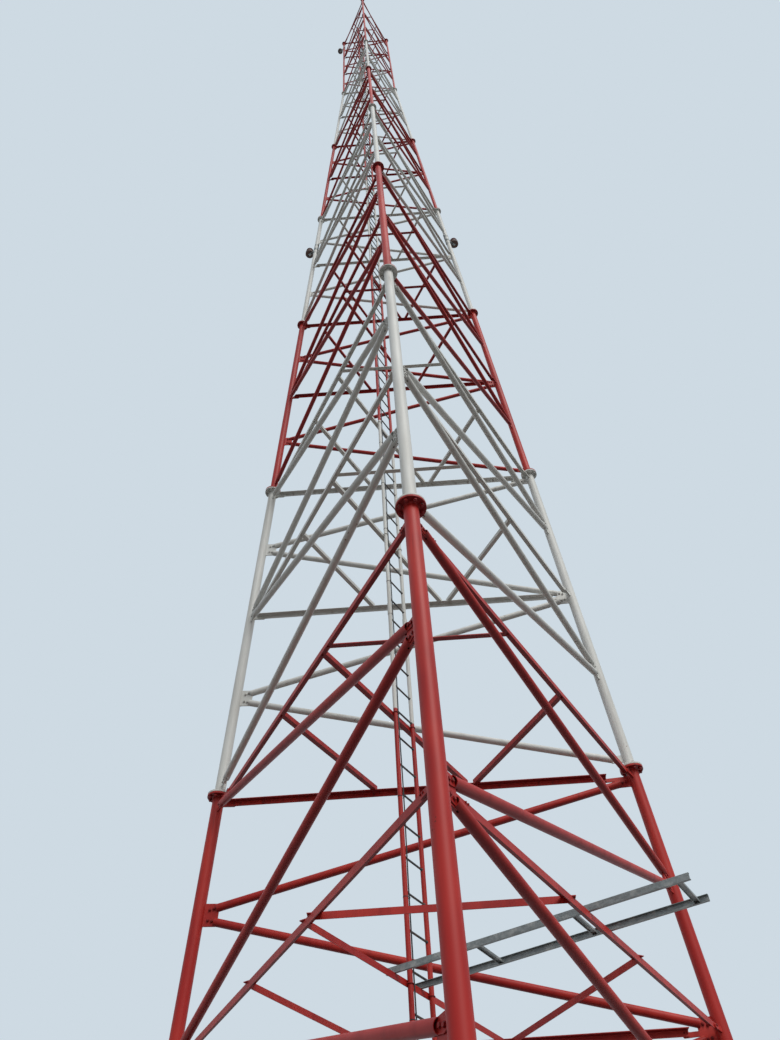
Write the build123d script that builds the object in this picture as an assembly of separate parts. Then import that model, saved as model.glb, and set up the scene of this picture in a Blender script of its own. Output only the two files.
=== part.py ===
import os
from math import atan, atan2, cos, degrees, radians, sin, tan

from build123d import *

# Tower layout, in millimetres, with Z up and the origin under the front pier
section_length = 5000
top_length = 7500
base_radius = 2850
top_radius = 960
leg_angles = {"front": -90, "right": 30, "left": 150}

# Each face names the leg that holds its even nodes, then the leg with the odd ones
faces = {
    "left_face": ("left", "front"),
    "right_face": ("front", "right"),
    "back_face": ("right", "left"),
}

# Tube diameters of sections 1 to 7, from the ground up
leg_diameters = [121, 114, 102, 89, 76, 70, 60]
diagonal_diameters = [76, 73, 60, 54, 48, 42, 38]
girt_diameters = [60, 57, 48, 45, 42, 38, 34]
plan_diameters = [54, 51, 42, 38, 36, 34, 30]

# Tubes and discs are drawn with few sides: a lattice of round ones would be too fine
tube_sides = 8
disc_sides = 12

# Flanges from the base to the top, and the plates that are welded to the legs
flange_diameters = [280, 244, 230, 205, 180, 160, 145, 150]
flange_thickness = 22
gusset_thickness = 12
gusset_margin = 7
bar_spacing = 10
leg_clearance = 8
fit_gap = 0.3

# Lengths at a node, as shares of the bar's diameter. A diagonal aims above or below
# the girt's line, and leaves room for its bolts between the leg and its open end
aim_share = 0.29
bolt_room_share = 1.2
diagonal_lap_share = 0.4
girt_lap_share = 0.9
tongue_share = 0.7

# Heights of a section's end nodes above its lower flange and below its upper one
first_node_rise = 60
last_node_drop = 100

# Footings
pier_height = 600
pier_bottom_width = 760
pier_top_width = 620
base_plate_width = 420
base_plate_thickness = 30

# Horizontal bracing, as a share of each side measured from the nearest corner
corner_share = 0.4

# Ladder, which stands beside the tower's axis, on the side of the left leg
ladder_offset = 200
ladder_width = 306
ladder_bottom_rise = 350
ladder_top_drop = 120
stringer_diameter = 42
rung_diameter = 18
rung_pitch = 300

# Lamp cable, which runs up in the corner of the left stringer and the rungs
cable_diameter = 12
cable_bottom_rise = 900

# Cable tray, which lies on the girts at the middle of section 1
tray_width = 385
tray_far_side = 330
tray_inner_end = 300
tray_outer_end = 2050
tray_rail_height = 45
tray_rail_width = 22
tray_rung_height = 20
tray_rung_width = 40
tray_rung_pitch = 750

# Warning lamps, each on an arm that is clamped round a leg
side_lamp_share = 0.611
top_lamp_drop = 900
lamp_reach = 165
lamp_radius = 74
lamp_body_height = 90
lamp_lens_height = 120
lamp_lens_taper = 8
lamp_arm_width = 46
lamp_arm_thickness = 14
clamp_width = 12
clamp_height = 60

tapered_sections = len(leg_diameters) - 1
base_level = pier_height + base_plate_thickness
taper_height = section_length * tapered_sections
tower_top = base_level + taper_height + top_length
tower_axis = Vector(0, base_radius, 0)


def heading(angle):
    return Vector(cos(radians(angle)), sin(radians(angle)), 0)


def section_at(z):
    return min(int((z - base_level) // section_length), tapered_sections) + 1


def section_levels(section):
    low = base_level + section_length * (section - 1)
    if section > tapered_sections:
        return low, low + top_length
    return low, low + section_length


def radius_at(z):
    share = min(max((z - base_level) / taper_height, 0), 1)
    return base_radius + (top_radius - base_radius) * share


def leg_point(leg, z):
    return tower_axis + heading(leg_angles[leg]) * radius_at(z) + Vector(0, 0, z)


def leg_axis(leg, section):
    low, high = section_levels(section)
    return (leg_point(leg, high) - leg_point(leg, low)).normalized()


def tube_between(start, end, diameter, out):
    # The outline's flats lie on the tube's true radius, one of them facing outwards
    axis = (end - start).normalized()
    plane = Plane(origin=start, x_dir=out - axis * out.dot(axis), z_dir=axis)
    return extrude(plane * flat_faced_polygon(diameter, tube_sides), (end - start).length)


def flat_faced_polygon(diameter, sides):
    outline = RegularPolygon(diameter / 2, sides, major_radius=False)
    return Rot(0, 0, 180 / sides) * outline


def hexagonal_bar(start, end, diameter, side_normal):
    # Two flats face up and down in the side's plane, and two ridges face its normal
    axis = (end - start).normalized()
    plane = Plane(origin=start, x_dir=side_normal, z_dir=axis)
    outline = RegularPolygon(diameter / 2, 6, major_radius=False)
    return extrude(plane * outline, (end - start).length)


def ridge_radius(diameter):
    return diameter / 2 / cos(radians(30))


# Nodes are numbered up each section in quarter steps, from the lower flange

def last_node(section):
    low, high = section_levels(section)
    return round(4 * (high - low) / section_length)


def node_height(section, node):
    low, high = section_levels(section)
    if node == 0:
        return low + first_node_rise
    if node == last_node(section):
        return high - last_node_drop
    return low + (high - low) * node / last_node(section)


def side_bars(face, section):
    # Every bar of one side: its two end nodes as (leg, node), and its diameter
    even_leg, odd_leg = faces[face]
    bars = []
    for node in range(last_node(section)):
        lower = (even_leg, odd_leg)[node % 2]
        upper = (odd_leg, even_leg)[node % 2]
        bars.append(((lower, node), (upper, node + 1), diagonal_diameters[section - 1]))
    for node in range(2, last_node(section) + 1, 2):
        bars.append(((even_leg, node), (odd_leg, node), girt_diameters[section - 1]))
    return bars


def side_normal(face, section):
    even_leg, odd_leg = faces[face]
    low, high = section_levels(section)
    across = leg_point(odd_leg, low) - leg_point(even_leg, low)
    return across.cross(leg_axis(even_leg, section)).normalized()


def node_plane(face, section, leg, node):
    # X runs from the leg into the side, Y up the leg, and Z along the side's normal
    other = [name for name in faces[face] if name != leg][0]
    centre = leg_point(leg, node_height(section, node))
    up = leg_axis(leg, section)
    across = leg_point(other, centre.Z) - centre
    inward = (across - up * across.dot(up)).normalized()
    return Plane(origin=centre, x_dir=inward, z_dir=inward.cross(up))


def aim_height(bar, place):
    # How far above its node one end of a bar aims
    first, second, diameter = bar
    if first[1] == second[1]:
        return 0
    return diameter * aim_share if place == first else -diameter * aim_share


def bar_aim(section, bar, place):
    name, node = place
    return leg_point(name, node_height(section, node) + aim_height(bar, place))


def other_end(bar, place):
    return bar[1] if place == bar[0] else bar[0]


def bars_at_node(face, section, place):
    # The slope in degrees, aim height and diameter of each bar that meets at the node
    plane = node_plane(face, section, *place)
    found = []
    for bar in side_bars(face, section):
        if place in bar:
            way = bar_aim(section, bar, other_end(bar, place)) - bar_aim(section, bar, place)
            slope = degrees(atan2(way.dot(plane.y_dir), way.dot(plane.x_dir)))
            found.append((slope, aim_height(bar, place), bar[2]))
    return sorted(found)


def girt_inset(diameter):
    # Girts lie against the inner faces of the plates
    return ridge_radius(diameter) + gusset_thickness / 2 + fit_gap


def bar_start(section, bars, own):
    # A bar starts where it clears the leg, the node's diagonals and the next side's girt
    slope, aim, diameter = own
    tilt = radians(abs(slope))
    leg_radius = leg_diameters[section - 1] / 2
    starts = [leg_radius / cos(tilt) + diameter / 2 * tan(tilt) + leg_clearance]
    if aim:
        starts[0] += diameter * bolt_room_share
    else:
        depth = girt_inset(diameter) + ridge_radius(diameter) + bar_spacing / 2
        starts.append(depth / tan(radians(30)))
    for other_slope, other_aim, other_diameter in bars:
        if other_aim and not aim:
            half_width = other_diameter / 2 / cos(radians(other_slope))
            rise = half_width + diameter / 2 + bar_spacing - abs(other_aim)
            starts.append(rise / tan(radians(abs(other_slope))))
        if other_aim and aim and other_slope != slope:
            half_angle = radians(abs(slope - other_slope)) / 2
            width = (diameter + other_diameter) / 2 + bar_spacing - abs(aim - other_aim)
            starts.append(width / (2 * tan(half_angle)))
    return max(starts)


def bar_reach(section, bars, own):
    # How far into the side the plate must reach to carry the bar
    slope, aim, diameter = own
    lap = diameter * (diagonal_lap_share if aim else girt_lap_share)
    return (bar_start(section, bars, own) + lap) * cos(radians(slope))


def plate_reach(section, bars):
    diagonals = [bar for bar in bars if bar[1]]
    return max((bar_reach(section, bars, bar) for bar in diagonals), default=0)


def gusset(face, section, place):
    # A plate as high as the diagonals' open ends, with a tongue that carries the girt
    bars = bars_at_node(face, section, place)
    edges = []
    for bar in bars:
        slope, aim, diameter = bar
        middle = aim + bar_start(section, bars, bar) * sin(radians(slope))
        half_height = diameter / 2 * cos(radians(slope)) + gusset_margin
        if not aim:
            middle = 0
            half_height = diameter * tongue_share / 2
        edges += [middle - half_height, middle + half_height]
    bottom = min(edges)
    corner = (Align.MIN, Align.MIN)
    outline = None
    if plate_reach(section, bars):
        outline = Pos(0, bottom) * Rectangle(plate_reach(section, bars), max(edges) - bottom, align=corner)
    for bar in bars:
        if not bar[1]:
            height = bar[2] * tongue_share
            tongue = Pos(0, -height / 2) * Rectangle(bar_reach(section, bars, bar), height, align=corner)
            outline = outline + tongue if outline else tongue
    plane = node_plane(face, section, *place)
    return extrude(plane * outline, gusset_thickness / 2, both=True)


def slot_depth(section, bars, own):
    # How far a diagonal's end reaches over the plate, measured along the bar
    slope, aim, diameter = own
    tilt = radians(abs(slope))
    over = (plate_reach(section, bars) + diameter / 2 * sin(tilt)) / cos(tilt)
    return over - bar_start(section, bars, own) + bar_spacing


def bar_end(face, section, bar, place):
    # The middle of one end of a bar, in the side's plane, and the slot that a diagonal has there
    bars = bars_at_node(face, section, place)
    own = next(found for found in bars if found[1:] == (aim_height(bar, place), bar[2]))
    aim = bar_aim(section, bar, place)
    way = (bar_aim(section, bar, other_end(bar, place)) - aim).normalized()
    return aim + way * bar_start(section, bars, own), slot_depth(section, bars, own)


def side_bar(face, section, bar):
    # A diagonal is slotted over its plates, and a girt lies whole against their inner faces
    first, second, diameter = bar
    normal = side_normal(face, section)
    ends = [bar_end(face, section, bar, place) for place in (first, second)]
    start, end = [middle for middle, depth in ends]
    if first[1] == second[1]:
        facing = Vector(normal.X, normal.Y, 0).normalized()
        inset = facing * girt_inset(diameter)
        return hexagonal_bar(start - inset, end - inset, diameter, facing)
    shape = hexagonal_bar(start, end, diameter, normal)
    slot_width = gusset_thickness + 2 * fit_gap
    for middle, depth in ends:
        slot = Box(slot_width, 2 * diameter, 2 * depth)
        shape -= Plane(origin=middle, x_dir=normal, z_dir=end - start) * slot
    return shape


def flange(centre, axis, diameter, out):
    # The disc lies on the far side of its joint face, along the given axis
    plane = Plane(origin=centre, x_dir=out - axis * out.dot(axis), z_dir=axis)
    return extrude(plane * flat_faced_polygon(diameter, disc_sides), flange_thickness)


def leg(name, section):
    low, high = section_levels(section)
    foot = leg_point(name, low)
    head = leg_point(name, high)
    axis = leg_axis(name, section)
    level = Vector(0, 0, 1)
    low_axis = axis if section > 1 else level
    high_axis = axis if section != tapered_sections else level
    inset = axis * (flange_thickness / 2)
    out = heading(leg_angles[name])
    shape = tube_between(foot + inset, head - inset, leg_diameters[section - 1], out)
    shape += flange(foot, low_axis, flange_diameters[section - 1], out)
    shape += flange(head, high_axis * -1, flange_diameters[section], out)
    for face, corners in faces.items():
        if name not in corners:
            continue
        for node in range(last_node(section) + 1):
            if bars_at_node(face, section, (name, node)):
                shape += gusset(face, section, (name, node))
    return shape


# Horizontal bracing between the girts of one level

def side_point(first, second, distance, z):
    start = leg_point(first, z)
    return start + (leg_point(second, z) - start).normalized() * distance


def mitred_bar(start, start_side, end, end_side, diameter, girt_diameter):
    # Both ends are cut along the girts that they meet, a fit gap from the girts' ridges
    along = (end - start).normalized()
    run_out = along * (2 * diameter)
    upright = Vector(0, 0, 1)
    shape = hexagonal_bar(start - run_out, end + run_out, diameter, along.cross(upright))
    reach = girt_inset(girt_diameter) + ridge_radius(girt_diameter) + fit_gap
    for point, side, inward in ((start, start_side, along), (end, end_side, along * -1)):
        across = leg_point(side[1], point.Z) - leg_point(side[0], point.Z)
        normal = across.cross(upright).normalized()
        if normal.dot(inward) < 0:
            normal = normal * -1
        cut = Plane(origin=point + normal * reach, z_dir=normal)
        shape = split(shape, bisect_by=cut, keep=Keep.TOP)
    return shape


def support_distance(section, z):
    # Where the ladder's support meets the sides, measured from the front or right leg
    diameter = plan_diameters[section - 1]
    offset = ladder_offset + ridge_radius(stringer_diameter) + fit_gap + ridge_radius(diameter)
    side_length = radius_at(z) * 2 * cos(radians(30))
    return side_length / 3 + offset / cos(radians(30))


def plan_level(section, z):
    diameter = plan_diameters[section - 1]
    girt = girt_diameters[section - 1]
    side_length = radius_at(z) * 2 * cos(radians(30))
    support = support_distance(section, z)
    spread = 2 * ridge_radius(diameter) / cos(radians(30)) + bar_spacing
    corner = min(corner_share * side_length, support - spread)
    bars = []
    for apex, first, second in (
        ("front", "left", "right"),
        ("right", "left", "front"),
        ("left", "front", "right"),
    ):
        start = side_point(apex, first, corner, z)
        end = side_point(apex, second, corner, z)
        bars.append(mitred_bar(start, (apex, first), end, (apex, second), diameter, girt))
    start = side_point("front", "left", support, z)
    end = side_point("right", "left", support, z)
    bars.append(mitred_bar(start, ("front", "left"), end, ("right", "left"), diameter, girt))
    return bars


def plan_bracing(section):
    bars = []
    for node in range(2, last_node(section) + 1, 2):
        bars += plan_level(section, node_height(section, node))
    return Compound(children=bars)


# Ladder, cable and tray share a frame: X along the rungs, Y away from the left leg

toward_left_leg = heading(leg_angles["left"])
along_rungs = heading(leg_angles["left"] - 90)
ladder_centre = tower_axis + toward_left_leg * ladder_offset


def ladder():
    # The rungs reach from one stringer's inner flat to the other's
    bottom = base_level + ladder_bottom_rise
    top = tower_top - ladder_top_drop
    stringers = []
    for side in (-1, 1):
        foot = ladder_centre + along_rungs * (side * ladder_width / 2) + Vector(0, 0, bottom)
        head = foot + Vector(0, 0, top - bottom)
        stringers.append(hexagonal_bar(foot, head, stringer_diameter, toward_left_leg))
    rungs = []
    rung_length = ladder_width - stringer_diameter - 2 * fit_gap
    for index in range(int((top - bottom) // rung_pitch)):
        z = bottom + rung_pitch * (index + 0.5)
        start = ladder_centre + along_rungs * (-rung_length / 2) + Vector(0, 0, z)
        plane = Plane(origin=start, x_dir=(0, 0, 1), z_dir=along_rungs)
        rungs.append(extrude(plane * Rectangle(rung_diameter, rung_diameter), rung_length))
    return Compound(children=stringers + rungs)


def lamp_cable():
    across = -ladder_width / 2 + stringer_diameter / 2 + cable_diameter / 2 + fit_gap
    out = rung_diameter / 2 + ridge_radius(cable_diameter) + fit_gap
    spot = ladder_centre + along_rungs * across - toward_left_leg * out
    foot = spot + Vector(0, 0, base_level + cable_bottom_rise)
    head = spot + Vector(0, 0, tower_top - top_lamp_drop)
    return hexagonal_bar(foot, head, cable_diameter, toward_left_leg)


def cable_tray():
    bottom = node_height(1, 2) + girt_diameters[0] / 2 + fit_gap
    start = tower_axis + toward_left_leg * tray_inner_end + Vector(0, 0, bottom)
    outward = toward_left_leg * -1
    plane = Plane(origin=start, x_dir=outward, z_dir=(0, 0, 1))
    length = tray_inner_end + tray_outer_end
    low_corner = (Align.MIN, Align.MIN, Align.MIN)
    far = -tray_far_side
    near = far + tray_width - tray_rail_width
    rail = Box(length, tray_rail_width, tray_rail_height, align=low_corner)
    shape = Pos(0, near, 0) * rail
    shape += Pos(0, far, 0) * rail
    rung = Box(tray_rung_width, tray_width, tray_rung_height, align=low_corner)
    for index in range(int((length - tray_rung_width) // tray_rung_pitch) + 1):
        shape += Pos(index * tray_rung_pitch, far, 0) * rung
    return plane * shape


# Lamps

def lamp(leg_name, z):
    # A round body under a tapered lens, an arm, and a clamp round the leg
    section = section_at(z)
    out = heading(leg_angles[leg_name])
    centre = leg_point(leg_name, z)
    plane = Plane(origin=centre + out * lamp_reach, x_dir=out, z_dir=(0, 0, 1))
    outline = flat_faced_polygon(2 * lamp_radius, disc_sides)
    shape = extrude(plane * outline, lamp_body_height)
    lens_foot = plane * Pos(0, 0, lamp_body_height) * outline
    shape += extrude(lens_foot, lamp_lens_height, taper=lamp_lens_taper)
    axis = leg_axis(leg_name, section)
    clamp_plane = Plane(origin=centre, x_dir=out - axis * out.dot(axis), z_dir=axis)
    inside = leg_diameters[section - 1] + 2 * fit_gap
    band = flat_faced_polygon(inside + 2 * clamp_width, tube_sides)
    hole = flat_faced_polygon(inside, tube_sides)
    shape += extrude(clamp_plane * (band - hole), clamp_height / 2, both=True)
    arm_start = inside / 2 + clamp_width / 2
    arm_size = (lamp_reach - arm_start, lamp_arm_width, lamp_arm_thickness)
    arm = Box(*arm_size, align=(Align.MAX, Align.CENTER, Align.MAX))
    return shape + plane * arm


# Footings

def pier(name):
    foot = leg_point(name, base_level)
    plane = Plane(origin=(foot.X, foot.Y, 0), x_dir=heading(leg_angles[name]), z_dir=(0, 0, 1))
    batter = degrees(atan((pier_bottom_width - pier_top_width) / 2 / pier_height))
    outline = plane * Rectangle(pier_bottom_width, pier_bottom_width)
    return extrude(outline, pier_height, taper=batter)


def base_plate(name):
    foot = leg_point(name, base_level)
    plane = Plane(origin=(foot.X, foot.Y, pier_height), x_dir=heading(leg_angles[name]), z_dir=(0, 0, 1))
    return extrude(plane * Rectangle(base_plate_width, base_plate_width), base_plate_thickness)


def save(shape, node):
    export_step(shape, "parts/" + node + ".step")


os.makedirs("parts", exist_ok=True)
last_section = tapered_sections + 1

for name in leg_angles:
    save(pier(name), "pier_" + name)
save(Compound(children=[base_plate(name) for name in leg_angles]), "base_plates")

for section in range(1, last_section + 1):
    tag = "_" + str(section)
    save(Compound(children=[leg(name, section) for name in leg_angles]), "legs" + tag)
    for face in faces:
        bars = [side_bar(face, section, bar) for bar in side_bars(face, section)]
        save(Compound(children=bars), face + tag)
    save(plan_bracing(section), "plan_bracing" + tag)

save(ladder(), "ladder")
save(lamp_cable(), "lamp_cable")
save(cable_tray(), "cable_tray")
save(lamp("left", base_level + taper_height * side_lamp_share), "lamp_left")
save(lamp("right", base_level + taper_height * side_lamp_share), "lamp_right")
save(lamp("left", tower_top - top_lamp_drop), "lamp_top")
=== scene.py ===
import random
from math import acos, atan2, cos, pi, radians, sin, tan

import bpy
from mathutils import Matrix, Vector


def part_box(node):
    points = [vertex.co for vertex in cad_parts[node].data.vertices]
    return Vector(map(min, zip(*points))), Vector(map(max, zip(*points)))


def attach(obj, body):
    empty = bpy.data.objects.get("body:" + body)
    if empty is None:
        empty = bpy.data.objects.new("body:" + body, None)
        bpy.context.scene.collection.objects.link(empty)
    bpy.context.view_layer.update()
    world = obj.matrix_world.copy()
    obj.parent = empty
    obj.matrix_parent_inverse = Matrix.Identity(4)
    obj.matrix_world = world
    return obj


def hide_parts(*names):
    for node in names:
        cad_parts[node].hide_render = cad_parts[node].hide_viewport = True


random.seed(12)
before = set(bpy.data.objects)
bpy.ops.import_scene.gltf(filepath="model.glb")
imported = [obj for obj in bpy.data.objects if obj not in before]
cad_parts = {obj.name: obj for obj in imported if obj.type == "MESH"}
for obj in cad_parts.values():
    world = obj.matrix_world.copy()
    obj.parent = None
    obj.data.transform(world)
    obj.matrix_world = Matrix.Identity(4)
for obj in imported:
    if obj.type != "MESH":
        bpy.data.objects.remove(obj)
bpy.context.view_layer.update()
print("frame loaded", len(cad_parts), "nodes")

# Tower layout in metres, Z up, with the origin under the front pier
tower = {
    "sectionLength": 5.0,
    "topLength": 7.5,
    "baseRadius": 2.85,
    "topRadius": 0.96,
    "taperedSections": 6,
    "baysPerSection": 4,
    "legAngles": {"front": -90, "right": 30, "left": 150},
    "faces": {
        "left_face": ("left", "front"),
        "right_face": ("front", "right"),
        "back_face": ("right", "left"),
    },
    "firstNodeRise": 0.06,
    "lastNodeDrop": 0.10,
}

# Tube sizes of sections 1 to 7, from the ground up
tubes = {
    "legs": [0.121, 0.114, 0.102, 0.089, 0.076, 0.070, 0.060],
    "diagonals": [0.076, 0.073, 0.060, 0.054, 0.048, 0.042, 0.038],
    "girts": [0.060, 0.057, 0.048, 0.045, 0.042, 0.038, 0.034],
    "planBars": [0.054, 0.051, 0.042, 0.038, 0.036, 0.034, 0.030],
    "wall": 0.004,
    "legSides": 32,
    "barSides": 20,
}

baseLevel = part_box("base_plates")[1].z
taperHeight = tower["sectionLength"] * tower["taperedSections"]
towerTop = baseLevel + taperHeight + tower["topLength"]
towerAxis = Vector((0, tower["baseRadius"], 0))
upright = Vector((0, 0, 1))
lastSection = tower["taperedSections"] + 1
sections = range(1, lastSection + 1)
halfCorner = radians(30)  # half of the corner between two sides of the tower
squareCorners = ((1, 1), (-1, 1), (-1, -1), (1, -1))
buried = 0.001  # how deep welds and glass start inside what carries them
smoothAngle = radians(32)


def heading(angle):
    return Vector((cos(radians(angle)), sin(radians(angle)), 0))


def outward(leg):
    return heading(tower["legAngles"][leg])


def sizeOf(kind, section):
    return tubes[kind][section - 1]


def sectionLevels(section):
    low = baseLevel + tower["sectionLength"] * (section - 1)
    length = tower["sectionLength"] if section < lastSection else tower["topLength"]
    return low, low + length


def radiusAt(z):
    share = min(max((z - baseLevel) / taperHeight, 0), 1)
    return tower["baseRadius"] + (tower["topRadius"] - tower["baseRadius"]) * share


def legPoint(leg, z):
    return towerAxis + outward(leg) * radiusAt(z) + upright * z


def legAxis(leg, section):
    low, high = sectionLevels(section)
    return (legPoint(leg, high) - legPoint(leg, low)).normalized()


def lastNode(section):
    low, high = sectionLevels(section)
    return round(tower["baysPerSection"] * (high - low) / tower["sectionLength"])


def girtNodes(section):
    return range(2, lastNode(section) + 1, 2)


def nodeHeight(section, node):
    low, high = sectionLevels(section)
    if node == 0:
        return low + tower["firstNodeRise"]
    if node == lastNode(section):
        return high - tower["lastNodeDrop"]
    return low + (high - low) * node / lastNode(section)


def sideBars(face, section):
    # each bar of one side, as its two end nodes and its diameter
    evenLeg, oddLeg = tower["faces"][face]
    bars = []
    for node in range(lastNode(section)):
        lower = (evenLeg, oddLeg)[node % 2]
        upper = (oddLeg, evenLeg)[node % 2]
        bars.append(((lower, node), (upper, node + 1), sizeOf("diagonals", section)))
    for node in girtNodes(section):
        bars.append(((evenLeg, node), (oddLeg, node), sizeOf("girts", section)))
    return bars


def sideNormal(face, section):
    evenLeg, oddLeg = tower["faces"][face]
    low = sectionLevels(section)[0]
    across = legPoint(oddLeg, low) - legPoint(evenLeg, low)
    return across.cross(legAxis(evenLeg, section)).normalized()


def placeAt(origin, axis, toward):
    # a local frame with Z along the axis and X as near as can be to the given way
    z = axis.normalized()
    x = (toward - z * toward.dot(z)).normalized()
    place = Matrix((x, z.cross(x), z)).transposed().to_4x4()
    place.translation = origin
    return place


def nodePlace(face, section, leg, node):
    # X runs from the leg into the side, Y up the leg, Z along the side's normal
    other = [name for name in tower["faces"][face] if name != leg][0]
    centre = legPoint(leg, nodeHeight(section, node))
    up = legAxis(leg, section)
    across = legPoint(other, centre.z) - centre
    inward = (across - up * across.dot(up)).normalized()
    return placeAt(centre, inward.cross(up), inward)


# How bars meet the legs' plates: shares of the bar's diameter, and gaps in metres
nodes = {
    "aim": 0.29,
    "boltRoom": 1.2,
    "diagonalLap": 0.4,
    "girtLap": 0.9,
    "tongue": 0.7,
    "barSpacing": 0.010,
    "legClearance": 0.008,
    "fitGap": 0.0003,
}
gussets = {
    "thickness": 0.012,
    "margin": 0.007,
    "cornerCut": 0.010,
    "edge": 0.0015,
    "rootDepth": 0.004,
    "weld": 0.007,
    "weldSpread": (0.8, 1.15),
    "weldSteps": 6,
}


def aimHeight(bar, place):
    # diagonals aim a little above or below the girt's line
    first, second, diameter = bar
    if first[1] == second[1]:
        return 0
    return diameter * nodes["aim"] if place == first else -diameter * nodes["aim"]


def barAim(section, bar, place):
    leg, node = place
    return legPoint(leg, nodeHeight(section, node) + aimHeight(bar, place))


def barsAtNode(face, section, place):
    # the slope, aim height and diameter of each bar that meets at the node
    local = nodePlace(face, section, *place).inverted().to_3x3()
    found = []
    for bar in sideBars(face, section):
        if place in bar:
            other = bar[1] if place == bar[0] else bar[0]
            way = local @ (barAim(section, bar, other) - barAim(section, bar, place))
            found.append((atan2(way.y, way.x), aimHeight(bar, place), bar[2]))
    return sorted(found)


def ridge(diameter):
    # the corner radius of the six-sided bar that stands for a tube or an angle in the solids
    return diameter / 2 / cos(halfCorner)


def clearStart(section, bars, own):
    # a bar starts where it clears the leg and the node's diagonals
    slope, aim, diameter = own
    tilt = abs(slope)
    spacing = nodes["barSpacing"]
    past = sizeOf("legs", section) / 2 / cos(tilt) + diameter / 2 * tan(tilt)
    starts = [past + nodes["legClearance"]]
    if aim:
        starts[0] += diameter * nodes["boltRoom"]
    for otherSlope, otherAim, otherDiameter in bars:
        if otherAim and not aim:
            rise = otherDiameter / 2 / cos(otherSlope) + diameter / 2 + spacing - abs(otherAim)
            starts.append(rise / tan(abs(otherSlope)))
        if otherAim and aim and otherSlope != slope:
            width = (diameter + otherDiameter) / 2 + spacing - abs(aim - otherAim)
            starts.append(width / (2 * tan(abs(slope - otherSlope) / 2)))
    return max(starts)


def barStart(section, bars, own):
    # the tongue's bolts start where a girt of the solids would also clear the next side's girt
    aim, diameter = own[1:]
    start = clearStart(section, bars, own)
    if aim:
        return start
    inset = ridge(diameter) + gussets["thickness"] / 2 + nodes["fitGap"]
    return max(start, (inset + ridge(diameter) + nodes["barSpacing"] / 2) / tan(halfCorner))


def barReach(section, bars, own):
    slope, aim, diameter = own
    lap = diameter * nodes["diagonalLap" if aim else "girtLap"]
    return (barStart(section, bars, own) + lap) * cos(slope)


def plateReach(section, bars):
    return max((barReach(section, bars, bar) for bar in bars if bar[1]), default=0)


def slotDepth(section, bars, own):
    tilt = abs(own[0])
    radius = own[2] / 2
    over = (plateReach(section, bars) + radius * sin(tilt)) / cos(tilt)
    return over - barStart(section, bars, own) + nodes["barSpacing"]


def around(place, radius, turn, height):
    return place @ Vector((radius * cos(turn), radius * sin(turn), height))


def circle(place, radius, height, sides, start=0.0):
    return [around(place, radius, start + 2 * pi / sides * i, height) for i in range(sides)]


def sceneObject(name, data):
    made = bpy.data.objects.new(name, data)
    bpy.context.scene.collection.objects.link(made)
    return made


class Shape:
    # the points and faces of one piece, gathered before they become a mesh
    def __init__(self):
        self.points = []
        self.faces = []
        self.finishes = []

    def face(self, corners, finish):
        self.faces.append(tuple(corners))
        self.finishes.append(finish)

    def loft(self, rings, finish=0, caps=(True, True), closed=True):
        first = len(self.points)
        count = len(rings[0])
        for ring in rings:
            self.points += [tuple(point) for point in ring]
        for row in range(len(rings) - 1):
            low = first + row * count
            for i in range(count if closed else count - 1):
                j = (i + 1) % count
                self.face((low + i, low + j, low + count + j, low + count + i), finish)
        if caps[0]:
            self.face(reversed(range(first, first + count)), finish)
        if caps[1]:
            self.face(range(len(self.points) - count, len(self.points)), finish)

    def turned(self, place, profile, sides, finish=0, start=0.0, caps=(True, True)):
        # a round or many-sided form, from its (radius, height) profile
        self.loft([circle(place, radius, height, sides, start) for radius, height in profile], finish, caps)

    def plate(self, place, outline, thickness, edge):
        # a flat plate about the frame's XY plane, with its edges broken
        middle = Vector((sum(p[0] for p in outline), sum(p[1] for p in outline))) / len(outline)
        cornerCut = edge * 1.4
        inset = []
        for point in outline:
            away = Vector(point) - middle
            inset.append(middle + away * (1 - cornerCut / away.length))
        half = thickness / 2
        rings = []
        for loop, height in ((inset, -half), (outline, edge - half), (outline, half - edge), (inset, half)):
            rings.append([place @ Vector((p[0], p[1], height)) for p in loop])
        self.loft(rings)

    def swept(self, path, radius, sides, finish=0):
        # a round rod along a list of points; no path runs along the way that sets its rings
        rings = []
        across = Vector((0.31, 0.17, 0.93))
        for index, point in enumerate(path):
            before = path[max(index - 1, 0)]
            after = path[min(index + 1, len(path) - 1)]
            rings.append(circle(placeAt(point, after - before, across), radius, 0, sides))
        self.loft(rings, finish)

    def made(self, name, finishes):
        mesh = bpy.data.meshes.new(name)
        mesh.from_pydata(self.points, [], self.faces)
        mesh.validate()
        for finish in finishes:
            mesh.materials.append(finish)
        mesh.polygons.foreach_set("material_index", self.finishes)
        mesh.polygons.foreach_set("use_smooth", [True] * len(mesh.polygons))
        mesh.set_sharp_from_angle(angle=smoothAngle)
        return sceneObject(name, mesh)

    def piece(self, name, finishes, replaced=()):
        made = self.made(name, finishes)
        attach(made, "root")
        if replaced:
            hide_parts(*replaced)


# Hex bolts, in shares of the thread's diameter
hexBolt = {
    "flats": 1.5,
    "head": 0.63,
    "nut": 0.85,
    "bevel": 0.12,
    "bevelRise": 0.072,
    "washerWidth": 1.95,
    "washer": 0.18,
    "washerSides": 12,
    "threadEnd": 0.35,
    "threadBevel": 0.1,
    "threadSides": 8,
}


def hexHead(shape, place, size, low, high, finish=0):
    corner = size * hexBolt["flats"] / 2 / cos(halfCorner)
    bevel = size * hexBolt["bevel"]
    rise = size * hexBolt["bevelRise"]
    profile = [(corner - bevel, low), (corner, low + rise), (corner, high - rise), (corner - bevel, high)]
    shape.turned(place, profile, 6, finish, random.uniform(0, pi / 3))


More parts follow.
